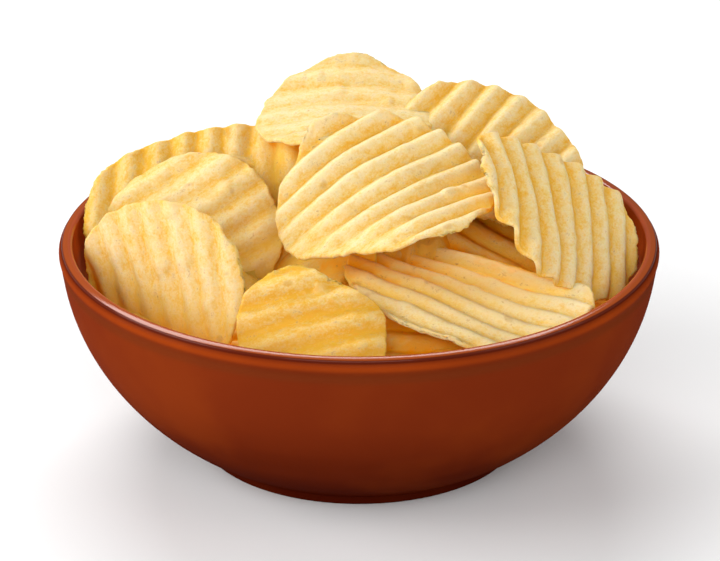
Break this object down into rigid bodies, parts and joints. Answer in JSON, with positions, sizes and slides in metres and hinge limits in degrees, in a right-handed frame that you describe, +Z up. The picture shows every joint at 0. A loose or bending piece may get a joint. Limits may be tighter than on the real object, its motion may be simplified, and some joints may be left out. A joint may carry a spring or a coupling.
{
  "type": "bowl of crisps",
  "caption": "Round glazed earthenware bowl on a low foot ring, heaped above its rim with large crinkle-cut potato crisps.",
  "frame": {"origin": "on the floor, on the bowl's axis, in the middle of the foot ring's underside", "axes": "+Z up along the bowl's axis; -Y towards the side of the heap that faces the viewer, with +X to the viewer's right"},
  "size_m": [0.165, 0.165, 0.095],
  "materials": {
    "glaze": "glossy transparent glaze over red-brown earthenware",
    "potato": "dry fried potato with a slight oily sheen"
  },
  "bodies": {
    "root": {"bowl": "glaze", "crisps": "potato"}
  },
  "joints": []
}
